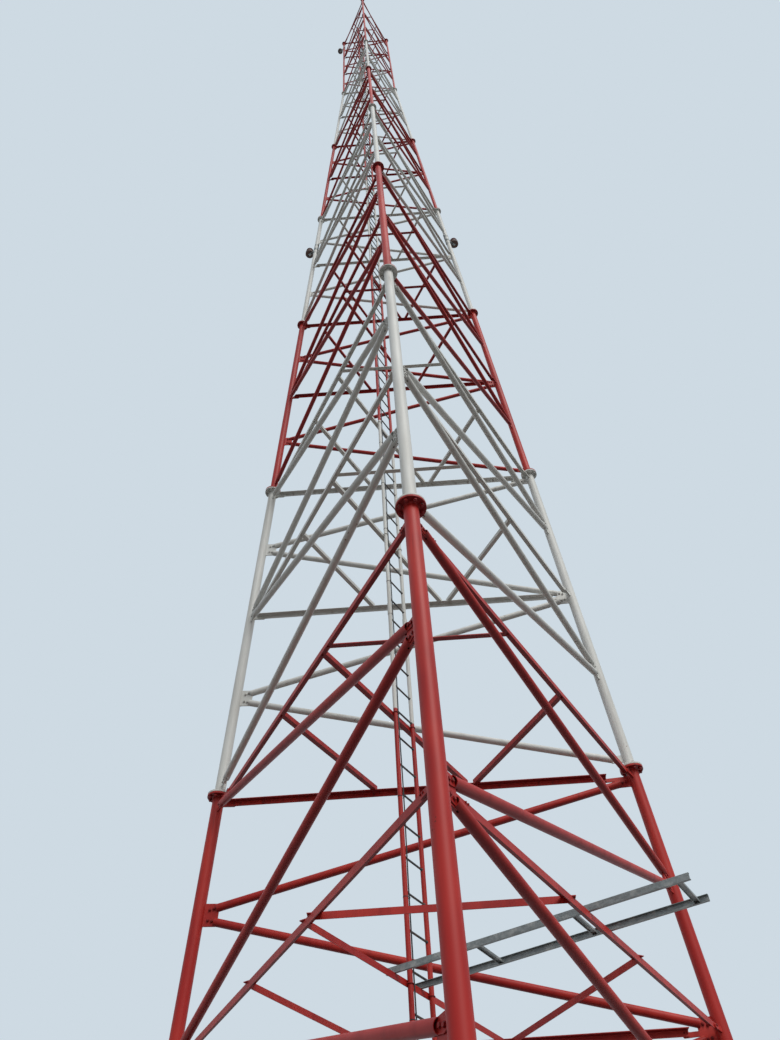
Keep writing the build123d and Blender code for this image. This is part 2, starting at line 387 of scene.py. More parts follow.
def boltThrough(shape, seat, axis, toward, size, grip, finish=0, nutFinish=0):
    # the head sits at the seat and its nut lies beyond the grip, along the axis
    place = placeAt(seat, axis, toward)
    washer = size * hexBolt["washer"]
    rim = size * hexBolt["washerWidth"] / 2
    hexHead(shape, place, size, -washer - size * hexBolt["head"], -washer, finish)
    shape.turned(place, [(rim, -washer), (rim, 0)], hexBolt["washerSides"], finish)
    shape.turned(place, [(rim, grip), (rim, grip + washer)], hexBolt["washerSides"], nutFinish)
    nutEnd = grip + washer + size * hexBolt["nut"]
    hexHead(shape, place, size, grip + washer, nutEnd, nutFinish)
    threadEnd = nutEnd + size * hexBolt["threadEnd"]
    bevel = size * hexBolt["threadBevel"]
    profile = [(size / 2, 0), (size / 2, threadEnd - bevel), (size / 2 - bevel, threadEnd)]
    shape.turned(place, profile, hexBolt["threadSides"], nutFinish)


# Finishes

def arithmetic(operation, swapped=False):
    def combine(wire, other):
        inputs = [other, wire] if swapped else [wire, other]
        return wire.owner.node("ShaderNodeMath", {"operation": operation}, inputs)
    return combine


class Wire:
    # an output socket that takes part in plain arithmetic
    __add__ = arithmetic("ADD")
    __radd__ = arithmetic("ADD", True)
    __sub__ = arithmetic("SUBTRACT")
    __rsub__ = arithmetic("SUBTRACT", True)
    __mul__ = arithmetic("MULTIPLY")
    __rmul__ = arithmetic("MULTIPLY", True)
    __mod__ = arithmetic("MODULO")
    maximum = arithmetic("MAXIMUM")

    def __init__(self, owner, socket):
        self.owner = owner
        self.socket = socket


class Nodes:
    # the node tree of a material or the world
    def __init__(self, owner):
        owner.use_nodes = True
        self.tree = owner.node_tree
        self.tree.nodes.clear()

    def node(self, kind, settings=None, inputs=None, output=0):
        made = self.tree.nodes.new(kind)
        for key, value in (settings or {}).items():
            setattr(made, key, value)
        pairs = inputs.items() if isinstance(inputs, dict) else enumerate(inputs or [])
        for key, value in pairs:
            if isinstance(value, Wire):
                self.tree.links.new(value.socket, made.inputs[key])
            else:
                made.inputs[key].default_value = value
        return Wire(self, made.outputs[output] if made.outputs else None)

    def backdropSplit(self, lighting, shown):
        # the camera sees one shader, also in reflections and through glass, and the other gives light
        seen = self.node("ShaderNodeLightPath", output="Is Camera Ray")
        outputs = seen.socket.node.outputs
        for name in ("Is Glossy Ray", "Is Transmission Ray"):
            seen = seen.maximum(Wire(self, outputs[name]))
        return self.node("ShaderNodeMixShader", {}, [seen, lighting, shown])


class Finish(Nodes):
    # one material that varies over an object's surface
    def __init__(self, name):
        self.material = bpy.data.materials.new(name)
        super().__init__(self.material)
        self.spot = self.node("ShaderNodeTexCoord", output="Object")
        self.height = self.node("ShaderNodeSeparateXYZ", {}, [self.spot], 2)
        normal = self.node("ShaderNodeNewGeometry", output="Normal")
        self.upward = self.node("ShaderNodeSeparateXYZ", {}, [normal], 2)

    def noise(self, scale, detail, rough, stretch=None):
        space = self.spot
        if stretch:
            space = self.node("ShaderNodeMapping", {}, {"Vector": self.spot, "Scale": stretch})
        inputs = {"Vector": space, "Scale": scale, "Detail": detail, "Roughness": rough}
        return self.node("ShaderNodeTexNoise", {}, inputs)

    def step(self, value, low, high, toLow=0.0, toHigh=1.0):
        # a soft step from one level to another
        settings = {"interpolation_type": "SMOOTHSTEP"}
        return self.node("ShaderNodeMapRange", settings, [value, low, high, toLow, toHigh])

    def mix(self, factor, first, second):
        return self.node("ShaderNodeMix", {"data_type": "RGBA"}, {0: factor, 6: first, 7: second}, 2)

    def blotched(self, pattern, levels, first, second):
        # a noise and the two colours that it mixes
        patches = self.noise(*pattern)
        return patches, self.mix(self.step(patches, *levels), first, second)

    def bump(self, height, strength, distance):
        inputs = {"Height": height, "Strength": strength, "Distance": distance}
        return self.node("ShaderNodeBump", {}, inputs)

    def surface(self, **sockets):
        named = {key.replace("_", " "): value for key, value in sockets.items()}
        shader = self.node("ShaderNodeBsdfPrincipled", {}, named)
        self.node("ShaderNodeOutputMaterial", {}, [shader])
        return self.material


def colour(red, green, blue):
    # a display colour of 0 to 255 as the linear values of a socket
    shares = [channel / 255 for channel in (red, green, blue)]
    return tuple(((c + 0.055) / 1.055) ** 2.4 if c > 0.04 else c / 12.92 for c in shares) + (1.0,)


enamel = {
    "red": {
        "body": colour(166, 32, 27),
        "deep": colour(140, 20, 21),
        "faded": colour(182, 46, 36),
        # painted shade for the undersides
        "under": colour(108, 10, 14),
        "dirt": colour(78, 26, 24),
        "chip": colour(96, 40, 30),
    },
    "white": {
        "body": colour(206, 208, 204),
        "deep": colour(190, 190, 185),
        "faded": colour(216, 218, 215),
        # painted shade for the undersides, about as light as the body
        "under": colour(206, 208, 206),
        "dirt": colour(136, 128, 116),
        "chip": colour(118, 92, 74),
    },
    "dust": colour(150, 136, 118),
    "roughness": 0.46,
    "shine": 0.30,
    "jointPitch": 5.0,
    "runLength": 0.9,
    "runStrength": 0.45,
    # how far the undersides take the painted shade
    "underShadeShare": 0.8,
}


def undersideShadeMask(finish):
    # painted shade: faces that look down mix towards the darker under colour
    return finish.step(finish.upward, -0.95, -0.45, enamel["underShadeShare"], 0)


def enamelPaint(tone):
    # brushed enamel: faded broadly, dirty in runs below the joints, with a few chips, and painted shade on
    # its undersides
    look = enamel[tone]
    finish = Finish(tone + "Enamel")
    broad, base = finish.blotched((0.7, 4, 0.6), (0.38, 0.66), look["body"], look["faded"])
    brushed = finish.noise(1.0, 3, 0.5, (11, 11, 1.1))
    runs = finish.noise(1.0, 3, 0.5, (22, 22, 0.7))
    base = finish.mix(finish.step(brushed, 0.42, 0.75, 0, 0.6), base, look["deep"])
    # painted shade on the undersides
    base = finish.mix(undersideShadeMask(finish), base, look["under"])
    belowJoint = enamel["jointPitch"] - (finish.height - baseLevel) % enamel["jointPitch"]
    nearJoint = finish.step(belowJoint, 0.0, enamel["runLength"], 1, 0)
    dirty = finish.step(runs, 0.52, 0.74) * (nearJoint * enamel["runStrength"] + 0.12)
    base = finish.mix(dirty, base, look["dirt"])
    dusty = finish.step(finish.upward, 0.55, 1.0, 0, 0.22) * finish.step(broad, 0.35, 0.6)
    base = finish.mix(dusty, base, enamel["dust"])
    patches = finish.noise(3, 3, 0.6)
    spots = finish.noise(38, 3, 0.6)
    chipped = finish.step(spots + patches * 0.8, 1.19, 1.23)
    base = finish.mix(chipped, base, look["chip"])
    roughness = enamel["roughness"] + brushed * 0.10 + dusty * 0.5 + chipped * 0.3
    relief = brushed * 0.6 - chipped * 0.5
    return finish.surface(
        Base_Color=base, Roughness=roughness, Specular_IOR_Level=enamel["shine"],
        Normal=finish.bump(relief, 0.15, 0.0012))


looks = {
    "bolt": {"bare": colour(66, 60, 56), "rust": colour(90, 56, 40)},
    # near black: rusty steel inside the tubes, partly painted shade in the bore
    "bore": {"shade": colour(34, 24, 22)},
    "zinc": {
        "dark": colour(118, 124, 124),
        "light": colour(150, 156, 156),
        "bloom": colour(172, 174, 170),
        "streak": colour(92, 92, 88),
    },
    "rung": {"steel": colour(58, 62, 66), "rust": colour(84, 72, 64), "worn": colour(128, 128, 126)},
    "sheath": {"black": colour(22, 23, 25), "faded": colour(48, 47, 45)},
    "casting": {"iron": colour(46, 36, 33), "rust": colour(98, 62, 44)},
    "glass": {"red": colour(128, 54, 48), "cloudy": colour(160, 112, 100)},
    "concrete": {
        "body": colour(146, 142, 134),
        "pale": colour(174, 170, 160),
        "grain": colour(128, 124, 116),
        "damp": colour(98, 92, 80),
        "rust": colour(132, 84, 54),
        "pore": colour(78, 74, 68),
    },
}


def boltSteel(tone):
    # fasteners: most are painted over, with painted shade on their undersides, and some are bare and rusty
    look = looks["bolt"]
    finish = Finish(tone + "Fasteners")
    own = finish.node("ShaderNodeNewGeometry", output="Random Per Island")
    patches, bare = finish.blotched((30, 3, 0.6), (0.42, 0.62), look["bare"], look["rust"])
    painted = finish.step(own + patches * 0.5, 0.24, 0.40)
    # painted shade: the paint turns darker where the faces look down
    paintWithUnderShade = finish.mix(undersideShadeMask(finish), enamel[tone]["deep"], enamel[tone]["under"])
    grain = finish.noise(160, 3, 0.6)
    return finish.surface(
        Base_Color=finish.mix(painted, bare, paintWithUnderShade), Roughness=0.52 + grain * 0.15,
        Specular_IOR_Level=0.35, Normal=finish.bump(grain, 0.2, 0.0008))


def tubeBore(tone):
    # inside the tubes: rusty steel, with its near-black colour partly painted shade in the bore
    finish = Finish(tone + "Bore")
    shades = (looks["bore"]["shade"], enamel[tone]["dirt"])
    patches, base = finish.blotched((30, 4, 0.6), (0.4, 0.65), *shades)
    return finish.surface(Base_Color=base, Roughness=0.8, Normal=finish.bump(patches, 0.3, 0.002))


def galvanisedSteel():
    # zinc crystals, dulled, with white bloom in patches
    look = looks["zinc"]
    finish = Finish("galvanisedSteel")
    cells = finish.node("ShaderNodeTexVoronoi", {}, {"Vector": finish.spot, "Scale": 70.0}, "Color")
    tone = finish.node("ShaderNodeSeparateColor", {}, [cells])
    bloom = finish.noise(14, 4, 0.6)
    streaks = finish.noise(1.0, 3, 0.5, (9, 9, 60))
    base = finish.mix(tone * 0.6, look["dark"], look["light"])
    base = finish.mix(finish.step(bloom, 0.48, 0.70, 0, 0.7), base, look["bloom"])
    base = finish.mix(finish.step(streaks, 0.55, 0.75, 0, 0.5), base, look["streak"])
    return finish.surface(
        Base_Color=base, Metallic=0.45, Roughness=0.42 + tone * 0.12 + bloom * 0.15,
        Normal=finish.bump(tone + bloom, 0.15, 0.0006))


def rungSteel():
    # bare round rungs, dark, worn a little brighter along their tops
    look = looks["rung"]
    finish = Finish("rungSteel")
    patches, base = finish.blotched((22, 4, 0.6), (0.40, 0.64), look["steel"], look["rust"])
    worn = finish.step(finish.upward, 0.5, 1.0, 0, 0.5)
    return finish.surface(
        Base_Color=finish.mix(worn, base, look["worn"]), Metallic=0.35,
        Roughness=0.55 - worn * 0.2, Normal=finish.bump(patches, 0.2, 0.001))


def cableSheath():
    look = looks["sheath"]
    finish = Finish("cableSheath")
    patches, base = finish.blotched((16, 3, 0.5), (0.4, 0.7), look["black"], look["faded"])
    roughness = 0.5 + patches * 0.2
    return finish.surface(Base_Color=base, Roughness=roughness, Normal=finish.bump(patches, 0.1, 0.0008))


def lampCasting():
    look = looks["casting"]
    finish = Finish("lampCasting")
    patches, base = finish.blotched((28, 4, 0.6), (0.42, 0.66), look["iron"], look["rust"])
    dusty = finish.step(finish.upward, 0.4, 1.0, 0, 0.5)
    grain = finish.noise(300, 3, 0.6)
    return finish.surface(
        Base_Color=finish.mix(dusty, base, enamel["dust"]), Metallic=0.2,
        Roughness=0.5 + patches * 0.2, Normal=finish.bump(grain, 0.3, 0.001))


def lampGlass():
    look = looks["glass"]
    finish = Finish("lampGlass")
    patches, base = finish.blotched((18, 3, 0.5), (0.4, 0.7, 0, 0.6), look["red"], look["cloudy"])
    return finish.surface(
        Base_Color=base, Roughness=0.16 + patches * 0.1,
        Transmission_Weight=0.35, IOR=1.45, Coat_Weight=0.5)


def castConcrete():
    # fine grain, pores, damp at the foot and rust below the steel
    look = looks["concrete"]
    finish = Finish("castConcrete")
    clouds, base = finish.blotched((2.2, 5, 0.6), (0.35, 0.65), look["body"], look["pale"])
    fine = finish.noise(38, 5, 0.7)
    runs = finish.noise(1, 3, 0.5, (18, 18, 1.5))
    pores = finish.step(finish.noise(85, 2, 0.5), 0.66, 0.72)
    damp = finish.step(finish.height + clouds * 0.25, 0.16, 0.34, 0.65, 0)
    stained = finish.step(finish.height, 0.36, 0.60, 0, 0.5) * finish.step(runs, 0.56, 0.72)
    base = finish.mix(finish.step(fine, 0.5, 0.75, 0, 0.5), base, look["grain"])
    for mask, shade in ((damp, "damp"), (stained, "rust"), (pores, "pore")):
        base = finish.mix(mask, base, look[shade])
    return finish.surface(
        Base_Color=base, Roughness=0.86, Normal=finish.bump(fine * 0.5 + clouds * 0.3 - pores, 0.5, 0.004))


paint, fastener, bore = (
    {tone: make(tone) for tone in ("red", "white")} for make in (enamelPaint, boltSteel, tubeBore))
zinc = galvanisedSteel()
rungFinish = rungSteel()
sheath = cableSheath()
casting = lampCasting()
glass = lampGlass()
concrete = castConcrete()
print("finishes made", len(bpy.data.materials))


def toneOf(section):
    return ("red", "white")[(section + 1) % 2]


# Piers and base plates
piers = {
    "height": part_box("base_plates")[0].z,
    "bottom": 0.76,
    "top": 0.62,
    "shoulder": 0.626,
    "corner": 0.02,
}
basePlates = {"width": 0.42, "thickness": 0.03, "edge": 0.004}
anchors = {
    "size": 0.030,
    "inset": 0.055,
    "stand": 0.055,
    "lockNut": 0.7,
    "threadTip": 0.003,
    "washerSides": 16,
    "studSides": 14,
}


def squareRing(place, width, corner, height):
    half = width / 2
    near = half - corner
    points = []
    for x, y in squareCorners:
        pair = [(x * half, y * near), (x * near, y * half)]
        points += pair if x * y > 0 else pair[::-1]
    return [place @ Vector((x, y, height)) for x, y in points]


def pierPiece(leg):
    foot = legPoint(leg, baseLevel)
    place = placeAt(Vector((foot.x, foot.y, 0)), upright, outward(leg))
    corner = piers["corner"]
    shape = Shape()
    shape.loft([
        squareRing(place, piers["bottom"], corner, 0),
        squareRing(place, piers["shoulder"], corner, piers["height"] - corner),
        squareRing(place, piers["top"] - 2 * corner, corner, piers["height"]),
    ])
    shape.piece("concrete_pier_" + leg, [concrete], ["pier_" + leg])


def anchorNuts(shape, seat):
    # a stud with a washer, a nut and a thinner lock nut
    place = placeAt(seat, upright, heading(random.uniform(0, 60)))
    size = anchors["size"]
    washer = size * hexBolt["washer"]
    nut = size * hexBolt["nut"]
    lockNut = nut * anchors["lockNut"]
    shape.turned(place, [(size, 0), (size, washer)], anchors["washerSides"])
    hexHead(shape, place, size, washer, washer + nut)
    hexHead(shape, place, size, washer + nut, washer + nut + lockNut)
    top = anchors["stand"] + lockNut
    tip = anchors["threadTip"]
    profile = [(size / 2, 0), (size / 2, top - tip), (size / 2 - tip, top)]
    shape.turned(place, profile, anchors["studSides"])


def basePlatePieces():
    plates = Shape()
    nuts = Shape()
    half = basePlates["width"] / 2
    thick = basePlates["thickness"]
    inset = half - anchors["inset"]
    for leg in tower["legAngles"]:
        foot = legPoint(leg, baseLevel)
        place = placeAt(foot - upright * (thick / 2), upright, outward(leg))
        plates.plate(place, [(x * half, y * half) for x, y in squareCorners], thick, basePlates["edge"])
        for x, y in squareCorners:
            anchorNuts(nuts, place @ Vector((x * inset, y * inset, thick / 2)))
    plates.piece("base_plate_steel", [paint["red"]], ["base_plates"])
    nuts.piece("anchor_nuts", [fastener["red"]])


for leg in tower["legAngles"]:
    pierPiece(leg)
basePlatePieces()
print("footings done")


# Legs: tubes with a flange at each end and a welded plate at each node
flanges = {
    "diameters": [0.280, 0.244, 0.230, 0.205, 0.180, 0.160, 0.145, 0.150],
    "thickness": 0.022,
    "edge": 0.003,
    "sides": 40,
    "bolts": [8, 8, 8, 6, 6, 6, 6],
    "boltSizes": [0.024, 0.020, 0.020, 0.016, 0.016, 0.016, 0.016],
    "boltRing": 0.002,
    "studEnd": 1.2,
    "studSides": 10,
    "weld": 0.008,
    "weldBelly": 0.45,
}


def flangeAxes(leg, section):
    axis = legAxis(leg, section)
    return (axis if section > 1 else upright), (axis if section != tower["taperedSections"] else upright)


def flangeDisc(shape, centre, axis, out, diameter, legRadius):
    # the disc lies beyond its joint face, and a weld runs round the tube on it
    radius = diameter / 2
    thick = flanges["thickness"]
    edge = flanges["edge"]
    weld = flanges["weld"]
    belly = weld * flanges["weldBelly"]
    profile = [(radius - edge, 0), (radius, edge), (radius, thick - edge), (radius - edge, thick)]
    profile += [(legRadius + weld, thick), (legRadius + belly, thick + weld - belly)]
    profile.append((legRadius - buried, thick + weld))
    shape.turned(placeAt(centre, axis, out), profile, flanges["sides"])


def plateOutline(section, bars, root):
    # as high as the diagonals' open ends, with a tongue that carries the girt where both meet
    edges = []
    tongue = None
    for bar in bars:
        slope, aim, diameter = bar
        middle = aim + barStart(section, bars, bar) * sin(slope)
        half = diameter / 2 * cos(slope) + gussets["margin"]
        if not aim:
            middle = 0
            half = diameter * nodes["tongue"] / 2
            tongue = (barReach(section, bars, bar), half)
        edges += [middle - half, middle + half]
    low = min(edges)
    high = max(edges)
    cut = gussets["cornerCut"]
    reach = plateReach(section, bars)
    if not reach:
        reach, tongue = tongue[0], None
    outline = [(root, low), (reach - cut, low), (reach, low + cut)]
    if tongue:
        tip, half = tongue
        outline += [(reach, -half), (tip - cut, -half), (tip, cut - half)]
        outline += [(tip, half - cut), (tip - cut, half), (reach, half)]
    if high - cut > (tongue[1] if tongue else low + cut):
        outline += [(reach, high - cut), (reach - cut, high)]
    return outline + [(root, high)], low, high


def filletWeld(shape, place, root, low, high, side):
    # along one side of a plate's root, on the leg
    steps = gussets["weldSteps"]
    z = side * gussets["thickness"] / 2
    start = root + buried
    rings = []
    for i in range(steps + 1):
        y = low + (high - low) * i / steps
        size = gussets["weld"] * random.uniform(*gussets["weldSpread"])
        corners = [(start, z + side * size), (start + gussets["rootDepth"] + size, z), (start, z)]
        rings.append([place @ Vector((x, y, z)) for x, z in corners[::side]])
    shape.loft(rings)


def gussetPlate(shape, face, section, place):
    bars = barsAtNode(face, section, place)
    if not bars:
        return
    root = sizeOf("legs", section) / 2 - gussets["rootDepth"]
    outline, low, high = plateOutline(section, bars, root)
    spot = nodePlace(face, section, *place)
    shape.plate(spot, outline, gussets["thickness"], gussets["edge"])
    for side in (-1, 1):
        filletWeld(shape, spot, root, low, high, side)


def legPiece(section):
    shape = Shape()
    radius = sizeOf("legs", section) / 2
    thick = flanges["thickness"]
    low, high = sectionLevels(section)
    for leg in tower["legAngles"]:
        foot = legPoint(leg, low)
        head = legPoint(leg, high)
        axis = legAxis(leg, section)
        out = outward(leg)
        length = (head - foot).length - thick
        place = placeAt(foot + axis * (thick / 2), axis, out)
        shape.turned(place, [(radius, 0), (radius, length)], tubes["legSides"])
        lowAxis, highAxis = flangeAxes(leg, section)
        flangeDisc(shape, foot, lowAxis, out, flanges["diameters"][section - 1], radius)
        flangeDisc(shape, head, highAxis * -1, out, flanges["diameters"][section], radius)
        for face, corners in tower["faces"].items():
            if leg in corners:
                for node in range(lastNode(section) + 1):
                    gussetPlate(shape, face, section, (leg, node))
    finishes = [paint[toneOf(section)]]
    shape.piece(f"section_{section}_leg_tubes", finishes, [f"legs_{section}"])


def flangeBolts(level):
    # the bolts of one joint of the three legs; level 0 is the base, and the top has none
    z = sectionLevels(level)[1] if level else baseLevel
    below = max(level, 1)
    size = flanges["boltSizes"][level]
    count = flanges["bolts"][level]
    thick = flanges["thickness"]
    widest = max(sizeOf("legs", below), sizeOf("legs", level + 1))
    ring = (flanges["diameters"][level] + widest) / 4 + flanges["boltRing"]
    shape = Shape()
    for leg in tower["legAngles"]:
        axis = upright if level in (0, tower["taperedSections"]) else legAxis(leg, level + 1)
        out = outward(leg)
        place = placeAt(legPoint(leg, z), axis, out)
        for i in range(count):
            seat = around(place, ring, 2 * pi * (i + 0.5) / count, thick)
            if level:
                boltThrough(shape, seat, axis * -1, out, size, 2 * thick, 1, 0)
            else:
                corner = placeAt(seat, axis, out)
                hexHead(shape, corner, size, 0, size * hexBolt["nut"])
                stud = [(size / 2, 0), (size / 2, size * flanges["studEnd"])]
                shape.turned(corner, stud, flanges["studSides"])
    tones = [fastener[toneOf(below)], fastener[toneOf(level + 1)]]
    shape.piece(f"flange_bolts_{level}", tones)


for section in sections:
    legPiece(section)
for level in range(lastSection):
    flangeBolts(level)
print("legs done")


# Sides. Diagonals are tubes with slotted ends that straddle the legs' plates, and girts are
# rolled angles. Bolts, spades and angles are in shares of the bar's diameter, gaps in metres
barEnds = {
    "diagonalBolt": 0.20,
    "diagonalBoltSpots": (-0.30, -0.82),
    "girtBolt": 0.145,
    "girtBoltSpots": (0.20, 0.66),
    "boreDepth": 0.06,
}
spades = {"back": 1.10, "front": 0.60, "width": 0.92, "thickness": 0.008, "edge": 0.001, "steps": 6}
angles = {
    "wall": 0.1,
    "leastWall": 0.004,
    "rootSteps": 4,
    "notchWalls": 3,
    "girtAcross": 1.04,
    "planShare": 0.92,
    "standOff": 0.0015,
    "endGap": 0.006,
    "copeGap": 0.001,
}
girtFace = gussets["thickness"] / 2 + angles["standOff"]  # from the middle of the legs' plates


def halfShell(shape, place, radius, low, high, first):
    # one of the two tongues that a tube's slotted end leaves, with its bore
    slotWidth = gussets["thickness"] + 2 * nodes["fitGap"]
    steps = tubes["barSides"] // 2
    arcs = []
    for size in (radius, radius - tubes["wall"]):
        half = acos(slotWidth / 2 / size)
        turns = [first + half * (2 * i / steps - 1) for i in range(steps + 1)]
        for height in (low, high):
            arcs.append([around(place, size, turn, height) for turn in turns])
    lowOuter, highOuter, lowInner, highInner = arcs
    strips = [
        (0, lowOuter, highOuter),
        (1, highInner, lowInner),
        (0, lowInner, lowOuter),
        (0, highOuter, highInner),
        (0, (lowInner[0], lowOuter[0]), (highInner[0], highOuter[0])),
        (0, (lowOuter[-1], lowInner[-1]), (highOuter[-1], highInner[-1])),
    ]
    for finish, *rings in strips:
        shape.loft(rings, finish, (False, False), closed=False)


def slottedTube(shape, start, end, diameter, normal, depths):
    # the slots lie in the plane square to the normal; the tube between them is whole
    length = (end - start).length
    place = placeAt(start, end - start, normal)
    radius = diameter / 2
    inner = radius - tubes["wall"]
    sides = tubes["barSides"]
    deep = barEnds["boreDepth"]
    low = depths[0]
    high = length - depths[1]
    for first in (pi, 0):
        halfShell(shape, place, radius, 0, low, first)
        halfShell(shape, place, radius, high, length, first)
    whole = [(inner, low), (radius, low), (radius, high), (inner, high)]
    shape.turned(place, whole, sides, caps=(False, False))
    shape.turned(place, [(inner, low + deep), (inner, low)], sides, 1, caps=(True, False))
    shape.turned(place, [(inner, high), (inner, high - deep)], sides, 1, caps=(False, True))


def spade(shape, tip, way, normal, diameter):
    # the flat plate that is welded into a tube's open end and bolted to the leg's plate
    lift = (gussets["thickness"] + spades["thickness"]) / 2
    back = -diameter * spades["back"]
    front = diameter * spades["front"]
    half = diameter * spades["width"] / 2
    outline = [(front, -half), (front, half)]
    for i in range(spades["steps"] + 1):
        turn = pi / 2 + pi * i / spades["steps"]
        outline.append((back + half * (1 + cos(turn)), half * sin(turn)))
    shape.plate(placeAt(tip + normal * lift, normal, way), outline, spades["thickness"], spades["edge"])


def endBolts(shape, kind, tip, way, axis, diameter, lift, grip):
    for share in barEnds[kind + "BoltSpots"]:
        seat = tip + way * (diameter * share) - axis * lift
        boltThrough(shape, seat, axis, way, diameter * barEnds[kind + "Bolt"], grip)


def wallOf(across):
    return max(across * angles["wall"], angles["leastWall"])


def planAcross(section):
    return sizeOf("planBars", section) * angles["planShare"]


def girtAcross(section):
    return sizeOf("girts", section) * angles["girtAcross"]


def angleRings(place, outline, across, start, end, mitres):
    # the outline at both ends, with its far edge taken back by the mitres
    rings = []
    for z, slant in ((start, mitres[0]), (end, -mitres[1])):
        rings.append([place @ Vector((x, y, z + slant * x / across)) for x, y in outline])
    return rings


def angleBar(shape, ends, awaySide, across, tall, notch,
             mitres=(0, 0), trims=(0, 0), copes=(0, 0), rise=False):
    # the bar's corner runs from one end to the other, its level leg reaches to the given side and
    # the other hangs or rises; mitres take back the level leg's edge at the ends, trims the root,
    # down to the notch, and copes the rest of the other leg
    start, end = ends
    if upright.cross(end - start).dot(awaySide) > 0:
        start, end = end, start
        mitres, trims, copes = mitres[::-1], trims[::-1], copes[::-1]
    wall = wallOf(across)
    place = placeAt(start, end - start, awaySide)
    length = (end - start).length
    root = [(0, wall), (2 * wall, wall)]
    for i in range(1, angles["rootSteps"]):
        turn = 3 * pi / 2 - pi / 2 * i / angles["rootSteps"]
        root.append((wall * (2 + cos(turn)), wall * (2 + sin(turn))))
    root += [(wall, 2 * wall), (wall, notch), (0, notch)]
    parts = [
        ([(0, 0), (across, 0), (across, wall), (0, wall)], mitres, (0, 0)),
        (root, (0, 0), trims),
        ([(0, notch), (wall, notch), (wall, tall), (0, tall)], (0, 0), copes),
    ]
    for outline, slants, backs in parts:
        if rise:
            outline = [(x, -y) for x, y in reversed(outline)]
        shape.loft(angleRings(place, outline, across, backs[0], length - backs[1], slants))


def girtMitre(section, start):
    # what clears the next side's girt
    reach = girtFace + girtAcross(section)
    return max((reach + angles["endGap"]) / tan(halfCorner) - start, 0)


def facePieces(face, section):
    bars = Shape()
    bolts = Shape()
    normal = sideNormal(face, section)
    level = Vector((normal.x, normal.y, 0)).normalized()
    half = gussets["thickness"] / 2
    spadeGrip = 2 * half + spades["thickness"]
    drop = wallOf(planAcross(section))
    for bar in sideBars(face, section):
        first, second, diameter = bar
        isGirt = first[1] == second[1]
        aims = [barAim(section, bar, place) for place in (first, second)]
        along = (aims[1] - aims[0]).normalized()
        tips = []
        cuts = []
        for place, aim, way in ((first, aims[0], along), (second, aims[1], along * -1)):
            met = barsAtNode(face, section, place)
            own = next(found for found in met if found[1:] == (aimHeight(bar, place), diameter))
            tip = aim + way * barStart(section, met, own)
            if isGirt:
                endBolts(bolts, "girt", tip, way, level * -1, diameter, half, 2 * half + wallOf(diameter))
                start = clearStart(section, met, own)
                tips.append(aim + way * start)
                cuts.append(girtMitre(section, start))
            else:
                spade(bars, tip, way, normal, diameter)
                endBolts(bolts, "diagonal", tip, way, normal * -1, diameter, spadeGrip - half, spadeGrip)
                tips.append(tip)
                cuts.append(slotDepth(section, met, own))
        if isGirt:
            # the girt's top lies one wall low, and the horizontal bracing's level leg on it
            corner = upright * (diameter / 2 - drop) - level * girtFace
            across = girtAcross(section)
            tips = [tip + corner for tip in tips]
            notch = angles["notchWalls"] * wallOf(across)
            angleBar(bars, tips, level * -1, across, diameter - drop, notch, cuts)
        else:
            slottedTube(bars, *tips, diameter, normal, cuts)
    tone = toneOf(section)
    bars.piece(f"{face}_bars_{section}", [paint[tone], bore[tone]], [f"{face}_{section}"])
    bolts.piece(f"{face}_bolts_{section}", [fastener[tone]])


for section in sections:
    for face in tower["faces"]:
        facePieces(face, section)
print("sides done")


# Ladder frame: X along the rungs, and the left leg's way across them
ladder = {
    "offset": 0.20,
    "width": 0.306,
    "bottomRise": 0.35,
    "topDrop": 0.12,
    "stringer": 0.042,
    "sides": 16,
    "rung": 0.018,
    "rungPitch": 0.30,
    "rungSides": 12,
    "rungIn": 0.6,
    "spliceEvery": 6.0,
    "spliceDrop": 0.02,
    "splice": 0.16,
    "spliceWall": 0.004,
    "spliceEdge": 0.001,
    # the weld round each rung's end, as (radius, height) on the rung
    "weld": ((0.005, -0.004), (0.004, 0.001), (0, 0.005)),
}
towardLeft = outward("left")
alongRungs = heading(tower["legAngles"]["left"] - 90)
ladderCentre = towerAxis + towardLeft * ladder["offset"]
stringerSpot = ladder["width"] / 2


def ladderPoint(along, across, z):
    return ladderCentre + alongRungs * along + towardLeft * across + upright * z


# Horizontal bracing: angles that lie on the girts of one level. The other leg rises, but hangs at
# the level of the cable tray. Overhangs are in shares of the girt's size, and the ends stop short
# of the girts' edges where they are below zero
trayLevel = (1, 2)
planBracing = {
    "cornerShare": 0.4,
    "overhang": -0.18,
    "trayOverhang": 0.40,
    "boltShare": 0.62,
    "bolt": 0.20,
}


def sidePoint(side, distance, z):
    first, second = side
    start = legPoint(first, z)
    return start + (legPoint(second, z) - start).normalized() * distance


def planBars(section, z):
    # each bar's two ends, as a side of the tower and a distance along it: three corner bars and
    # the ladder's support
    radius = ridge(sizeOf("planBars", section))
    offset = ladder["offset"] + ridge(ladder["stringer"]) + nodes["fitGap"] + radius
    sideLength = radiusAt(z) * 2 * cos(halfCorner)
    support = sideLength / 3 + offset / cos(halfCorner)
    spread = 2 * radius / cos(halfCorner) + nodes["barSpacing"]
    corner = min(planBracing["cornerShare"] * sideLength, support - spread)
    return [
        (corner, ("front", "left"), ("front", "right")),
        (corner, ("right", "left"), ("right", "front")),
        (corner, ("left", "front"), ("left", "right")),
        (support, ("front", "left"), ("right", "left")),
    ]


